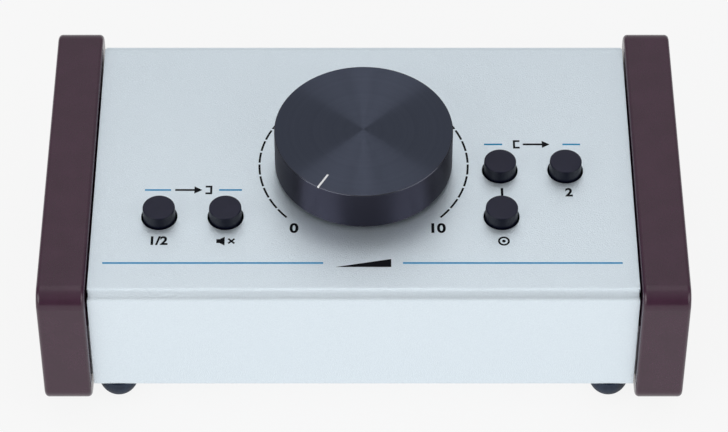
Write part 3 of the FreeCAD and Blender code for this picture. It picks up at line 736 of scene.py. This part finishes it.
def tool_marks(pitch, detail):
    """Rings that a lathe tool leaves as it feeds along the side and in across the face."""
    return anodised.node(
        "TexNoise", {"noise_dimensions": "1D"}, {"W": feed_line, "Scale": 1 / pitch, "Detail": detail})


rings = tool_marks(0.16 * mm, 2.0)
bands = tool_marks(1.6 * mm, 1.0)
pits = anodised.grain(0.2 * mm)
# The knob's side is painted darker than its face: painted shade on one anodised part.
on_side = off_axis.above(knob_radius - wall_shade_lead, wall_shade_soft)
face_tone = anodised.blend(rings * 0.5 + bands * 0.5, colour(71, 76, 90), colour(84, 89, 104))
shaded_wall_tone = anodised.blend(on_side, face_tone, colour(60, 60, 73))
# The chamfer is painted lighter than the side: a painted highlight along the top rim.
chamfer_line = knob_top + knob_radius - knob_chamfer
on_chamfer = (up + off_axis).above(chamfer_line - chamfer_highlight_lead, chamfer_highlight_soft)
anodised.vary("Base Color", anodised.blend(on_chamfer, shaded_wall_tone, colour(76, 78, 88)))
anodised.vary("Roughness", 0.36 + rings * 0.05 + pits * 0.04 - on_side * 0.01 - on_chamfer * 0.22)
anodised.relief(rings, 0.01 * mm)
anodised.cover(knob)

white_fill = Finish("white_fill")
brushed = white_fill.grain(0.15 * mm)
white_fill.vary("Base Color", white_fill.blend(brushed, colour(226, 228, 230), colour(250, 250, 250)))
white_fill.vary("Roughness", 0.4 + brushed * 0.25)
white_fill.relief(brushed, 0.02 * mm)
white_fill.cover(pointer)

# ================================================================ push-button caps
# Five moulded black caps pressed onto white plungers. The mould's satin texture is on the top and
# the slightly tapered side; the rim is softly rounded.
cap_radius = 4.55 * mm
cap_taper = 0.05 * mm
cap_depth = 4.0 * mm
cap_stand = 4.0 * mm
cap_round = 0.4 * mm
cap_dome = 0.15 * mm
cap_foot_chamfer = 0.15 * mm
cap_centre_radius = 0.1 * mm
dome_steps = 5

rim_radius = cap_radius - cap_taper - cap_round
cap_rings = [
    (cap_radius - cap_foot_chamfer, -cap_depth),
    (cap_radius, cap_foot_chamfer - cap_depth),
    (cap_radius, 0),
]
cap_rings += sweep((rim_radius, cap_stand - cap_round), cap_round, start=0, end=84, steps=8)
for step in range(1, dome_steps + 1):
    outwards = 1 - step / dome_steps
    dome_height = cap_stand + cap_dome * (1 - outwards ** 2)
    cap_rings.append((rim_radius * outwards + cap_centre_radius, dome_height))
caps = copies(turned("cap", cap_rings), [
    ("cap_" + name, "button_" + name, panel @ Matrix.Translation((spot.x, spot.y, 0)))
    for name, spot in button_spots.items()
])

cap_black = Finish("cap_black", Specular_IOR_Level=0.2)
texture = cap_black.grain(0.12 * mm)
handled = cap_black.grain(3 * mm)
cap_up = cap_black.axes(cap_black.moved(panel.translation, turn=tilt))[2]
on_top = cap_up.above(cap_stand - cap_round / 2, cap_round / 2)
top_tone_and_wear = cap_black.blend(handled, colour(34, 35, 50), colour(40, 40, 57))
# The cap's side is painted nearly black against the lighter top: painted shade on the side.
cap_black.vary("Base Color", cap_black.blend(on_top, colour(6, 9, 27), top_tone_and_wear))
cap_black.vary("Roughness", 0.24 + texture * 0.14 + handled * 0.08)
cap_black.relief(texture, 0.02 * mm)
cap_black.cover(*caps)

plunger_white = Finish("plunger_white", Subsurface_Weight=0.1)
haze = plunger_white.grain(0.8 * mm)
plunger_white.vary("Base Color", plunger_white.blend(haze, colour(216, 215, 208), colour(238, 237, 230)))
plunger_white.vary("Roughness", 0.32 + haze * 0.2)
plunger_white.relief(haze, 0.01 * mm)
plunger_white.cover(*("plunger_" + name for name in button_names))

# ================================================================ jack sockets and nuts
# Eight moulded 6.35 mm sockets stand on the jack board. Each has a threaded nose through the rear
# wall, a plain bore with a flared mouth, and a nickel-plated hexagon nut that pulls it home.
socket_low, socket_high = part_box("jack_1")
wall_inside = rear_y - sheet
socket_chamfer = 0.5 * mm
nose_radius = 5.95 * mm
nose_length = socket_high.y - wall_inside
nose_tip_chamfer = 0.2 * mm
bore_radius = 3.275 * mm
bore_depth = 31.0 * mm
mouth_flare = 0.6 * mm
thread_pitch = 0.75 * mm
thread_depth = 0.22 * mm
thread_turns = 4
crest_from, crest_to = 0.35, 0.65
nut_flats = 14.0 * mm
nut_thickness = 2.0 * mm
nut_corner = nut_flats / math.sqrt(3)
nut_crown = 0.9 * mm
nut_face_inset = 0.1 * mm
nut_clearance = 0.02 * mm
nut_edge_round = 0.08 * mm
overlap = 1 * mm

body_size = Vector((
    socket_high.x - socket_low.x, wall_inside - socket_low.y, socket_high.z - socket_low.z,
))
socket = begin(
    "socket", bpy.ops.mesh.primitive_cube_add,
    size=1, scale=body_size, location=(0, wall_inside - body_size.y / 2, 0),
)
pick(socket, "edges", lambda at, along: points_along(along, "y"))
bpy.ops.mesh.bevel(offset=socket_chamfer, segments=1, affect="EDGES")
root_radius = nose_radius - thread_depth
nose_rings = [(root_radius, -overlap)]
for turns_left in range(thread_turns, 0, -1):
    turn_foot = nose_length - nose_tip_chamfer - turns_left * thread_pitch
    nose_rings += [
        (root_radius, turn_foot),
        (nose_radius, turn_foot + crest_from * thread_pitch),
        (nose_radius, turn_foot + crest_to * thread_pitch),
    ]
nose_rings += [
    (root_radius, nose_length - nose_tip_chamfer),
    (root_radius - nose_tip_chamfer, nose_length),
]
nose = turned("nose", nose_rings, sides=72)
bore = turned(
    "bore",
    [
        (bore_radius, nose_length - bore_depth), (bore_radius, nose_length - mouth_flare),
        (bore_radius + mouth_flare, nose_length), (bore_radius + mouth_flare, nose_length + overlap),
    ],
    sides=64,
)
to_rear = Matrix.Rotation(-math.pi / 2, 4, "X")
for tool, operation in ((nose, "UNION"), (bore, "DIFFERENCE")):
    tool.data.transform(Matrix.Translation((0, wall_inside, 0)) @ to_rear)
    combine(socket, [tool], operation)
jacks = copies(socket, [
    (name, "case", Matrix.Translation((middle(name).x, 0, middle(name).z))) for name in jack_names
])

socket_black = Finish("socket_black", IOR=1.5)
mould = socket_black.grain(0.25 * mm)
flow = socket_black.grain(4 * mm)
socket_black.vary("Base Color", socket_black.blend(flow, colour(24, 24, 27), colour(38, 38, 42)))
socket_black.vary("Roughness", 0.28 + mould * 0.14 + flow * 0.08)
socket_black.relief(mould, 0.012 * mm)
socket_black.cover(*jacks)

nuts = begin(
    "jack_nuts_plated", bpy.ops.mesh.primitive_cylinder_add,
    vertices=6, radius=nut_corner, depth=nut_thickness, location=(0, 0, nut_thickness / 2),
)
crown = turned(
    "crown",
    [
        (nut_corner + overlap, -overlap), (nut_corner + overlap, nut_thickness - nut_crown),
        (nut_flats / 2 - nut_face_inset, nut_thickness),
    ],
)
combine(nuts, [crown], "INTERSECT")
combine(nuts, [punch_rod(nose_radius + nut_clearance, 4 * nut_thickness, (0, 0, 0), sides=72)])
soften(nuts, nut_edge_round, angle=25)
nuts.data.transform(to_rear)
nuts.data.transform(Matrix.Translation((middle("jack_1").x, rear_y, middle("jack_1").z)))
jack_pitch = middle("jack_2").x - middle("jack_1").x
modify(
    nuts, "ARRAY", count=len(jack_names), use_relative_offset=False,
    use_constant_offset=True, constant_offset_displace=(jack_pitch, 0, 0),
)
settle(nuts, "case")
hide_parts("jack_nuts")

nickel = Finish("nickel_plate", Metallic=1.0)
bloom = nickel.grain(2.5 * mm, detail=3.0)
polish = nickel.grain(0.15 * mm, where=nickel.moved(stretch=(6, 1, 1)))
nickel.vary("Base Color", nickel.blend(bloom, colour(196, 192, 182), colour(216, 214, 206)))
nickel.vary("Roughness", 0.16 + bloom * 0.1 + polish * 0.12)
nickel.relief(polish, 0.004 * mm)
nickel.cover(nuts, "pot_nut", "pot_washer")

# ================================================================ boards, posts and contacts
# Two green glass-epoxy boards with printed copper under solder resist. Brass posts carry them, and
# tinned pins and contacts are soldered through them. The knob's insert is of the same brass.
thread_spacing = 2.4 * mm
track_spacing = 7 * mm
laminate = Finish("board_laminate", Coat_Weight=0.3, Coat_Roughness=0.15)


def glass_threads(direction):
    """Glass threads across one direction."""
    return laminate.node(
        "TexWave", {"bands_direction": direction},
        {"Vector": laminate.place, "Scale": 1 / thread_spacing, "Distortion": 0.0})


warp = glass_threads("X")
cloth = warp * glass_threads("Y")
tracks = laminate.node(
    "TexBrick", {"offset": 0.5},
    {"Vector": laminate.place, "Scale": 1 / track_spacing, "Mortar Size": 0.06, "Mortar Smooth": 0.1},
    output="Fac")
resist = laminate.blend(cloth * 0.35, colour(22, 84, 44), colour(32, 104, 56))
laminate.vary("Base Color", laminate.blend(tracks * 0.8, resist, colour(62, 138, 74)))
laminate.vary("Roughness", 0.3 + warp * 0.08)
laminate.relief(tracks + cloth * 0.1, 0.03 * mm)
laminate.cover("control_board", "jack_board")

brass = Finish("machined_brass", Metallic=1.0)
lathe_lines = brass.grain(0.14 * mm, where=brass.moved(stretch=(10, 10, 1)))
patina = brass.grain(3 * mm, detail=3.0)
brass.vary("Base Color", brass.blend(patina, colour(190, 156, 88), colour(214, 184, 112)))
brass.vary("Roughness", 0.22 + lathe_lines * 0.16 + patina * 0.06)
brass.relief(lathe_lines, 0.005 * mm)
brass.cover("control_board_posts", "jack_board_posts", "knob_insert")

tin = Finish("bright_tin", Metallic=1.0)
frost = tin.grain(0.3 * mm, detail=3.0)
tin.vary("Base Color", tin.blend(frost, colour(186, 188, 192), colour(214, 216, 220)))
tin.vary("Roughness", 0.2 + frost * 0.2)
tin.relief(frost, 0.006 * mm)
tin.cover("jack_contacts", "pot_pins", "switch_pins")

# ================================================================ ribbon cable and headers
# A flat grey cable of sixteen conductors, the first one marked red, between a header on each board.
# The headers, the switches' bodies and the potentiometer's discs are black mouldings.
core_pitch = 1.27 * mm
red_from = 8.4 * mm
red_soft = 0.1 * mm
sheath = Finish("ribbon_sheath")
rib_across = sheath.axes(sheath.place)[0]
cores = rib_across.math("PINGPONG", rib_across, core_pitch / 2) / (core_pitch / 2)
matt = sheath.grain(0.4 * mm)
first_core = rib_across.above(red_from, red_soft)
# The grey is painted darker in the grooves between conductors and lighter on their crests: painted shade.
grey = sheath.blend(cores, colour(118, 120, 124), colour(164, 166, 170))
sheath.vary("Base Color", sheath.blend(first_core, grey, colour(150, 46, 44)))
sheath.vary("Roughness", 0.42 + matt * 0.16)
sheath.relief(cores + matt * 0.1, 0.15 * mm)
sheath.cover("ribbon_cable")

moulding = Finish("black_moulding")
spark = moulding.grain(0.2 * mm, detail=3.0)
swirl = moulding.grain(5 * mm)
moulding.vary("Base Color", moulding.blend(swirl, colour(26, 26, 29), colour(42, 42, 46)))
moulding.vary("Roughness", 0.38 + spark * 0.16)
moulding.relief(spark, 0.015 * mm)
moulding.cover("board_headers", "pot_wipers", "pot_tracks")
moulding.cover(*("switch_" + name for name in button_names))

# ================================================================ potentiometer and springs
# The potentiometer's cast plate and bushing, pressed cup and turned shaft are nickel-plated. The
# switch springs are wound from plain spring wire.
casting = Finish("pot_casting", Metallic=1.0)
sand = casting.grain(0.35 * mm, detail=4.0)
mist = casting.grain(2.4 * mm)
casting.vary("Base Color", casting.blend(mist, colour(168, 168, 170), colour(198, 198, 200)))
casting.vary("Roughness", 0.28 + sand * 0.14 + mist * 0.08)
casting.relief(sand, 0.008 * mm)
casting.cover("pot_housing", "pot_bushing", "pot_shaft")

spring_wire = Finish("spring_wire", Metallic=1.0)
die_lines = spring_wire.grain(0.1 * mm, detail=3.0)
spring_wire.vary("Base Color", spring_wire.blend(die_lines, colour(150, 150, 154), colour(196, 196, 200)))
spring_wire.vary("Roughness", 0.2 + die_lines * 0.16)
spring_wire.relief(die_lines, 0.004 * mm)
spring_wire.cover(*("spring_" + name for name in button_names))

# ================================================================ studio
# A plain pale floor, a large soft light overhead with a narrow strip in it, and one soft light on
# each side in front. The air is a little brighter behind the part. A long lens looks down at it.
floor_size = 8
floor_white = 0.93
floor_seen = 0.93
floor_glow = 1.02
air_low, air_high = 0.30, 0.66
air_from = Vector((0.0, 0.8, 0.6))
behind_soft = 0.5
aside_edge, aside_soft = 0.575, 0.425

floor = begin("studio_floor", bpy.ops.mesh.primitive_plane_add, size=floor_size)
leave_edit()
paper = Finish("studio_paper", Roughness=0.9, Specular_IOR_Level=0.1)
paper_white = (floor_white,) * 3 + (1,)
paper_shade = (floor_white * 0.99,) * 3 + (1,)
fibre = paper.grain(4 * mm, detail=3.0)
paper.vary("Base Color", paper.blend(fibre, paper_white, paper_shade))
rays = paper.node("LightPath").socket.node
seen = Signal(paper, rays.outputs["Is Camera Ray"])
for kind in ("Is Glossy Ray", "Is Transmission Ray"):
    seen = seen.math("MAXIMUM", seen, Signal(paper, rays.outputs[kind]))
glow = paper.node("Emission", {}, {"Color": paper_white, "Strength": floor_glow})
lit = Signal(paper, paper.shader.outputs[0])
shown = paper.node("MixShader", {}, {0: seen * floor_seen, 1: lit, 2: glow})
paper.feed(paper.tree.nodes["Material Output"].inputs["Surface"], shown)
paper.cover(floor)

world = bpy.data.worlds.new("studio_air")
world.use_nodes = True
bpy.context.scene.world = world
air = Wiring(world.node_tree)
look = air.node("TexCoord", output="Generated")
height = air.node("VectorMath", {"operation": "DOT_PRODUCT"}, {0: look, 1: air_from}, output="Value")
behind = height.above(0, behind_soft)
aside = abs(air.axes(look)[0]).above(aside_edge, aside_soft)
bright = behind * (1 - aside)
sky = air.tree.nodes["Background"]
sky.inputs["Color"].default_value = (0.98, 0.99, 1.0, 1)
air.feed(sky.inputs["Strength"], air_low + bright * (air_high - air_low))


def softbox(name, azimuth, elevation, distance, width, height, power):
    """A soft area light that faces the part; azimuth runs from the front, to the right."""
    lamp = bpy.data.lights.new(name, "AREA")
    lamp.shape = "RECTANGLE"
    lamp.size = width
    lamp.size_y = height
    lamp.energy = power
    stand = bpy.data.objects.new(name, lamp)
    a, e = math.radians(azimuth), math.radians(elevation)
    away = Vector((math.sin(a) * math.cos(e), -math.cos(a) * math.cos(e), math.sin(e)))
    stand.location = away * distance
    stand.rotation_euler = away.to_track_quat("Z", "Y").to_euler()
    bpy.context.scene.collection.objects.link(stand)


softbox("overhead", azimuth=180, elevation=78, distance=1.3, width=0.8, height=0.8, power=0.5)
softbox("overhead_strip", azimuth=180, elevation=78, distance=1.25, width=0.09, height=0.8, power=0.5)
softbox("front_left", azimuth=-52, elevation=26, distance=1.2, width=1.05, height=0.8, power=6.0)
softbox("front_right", azimuth=57, elevation=26, distance=1.2, width=1.0, height=0.8, power=4.2)

lens = bpy.data.cameras.new("camera")
lens.lens = 157.85
lens.sensor_width = 36
lens.clip_start = 0.05
lens.clip_end = 20
camera = bpy.data.objects.new("camera", lens)
camera.location = Vector((0.12, -648.4, 673.4)) * mm
camera.rotation_euler = (math.radians(45.035), 0, 0)
bpy.context.scene.collection.objects.link(camera)
bpy.context.scene.camera = camera
bpy.context.scene.view_settings.view_transform = "Standard"
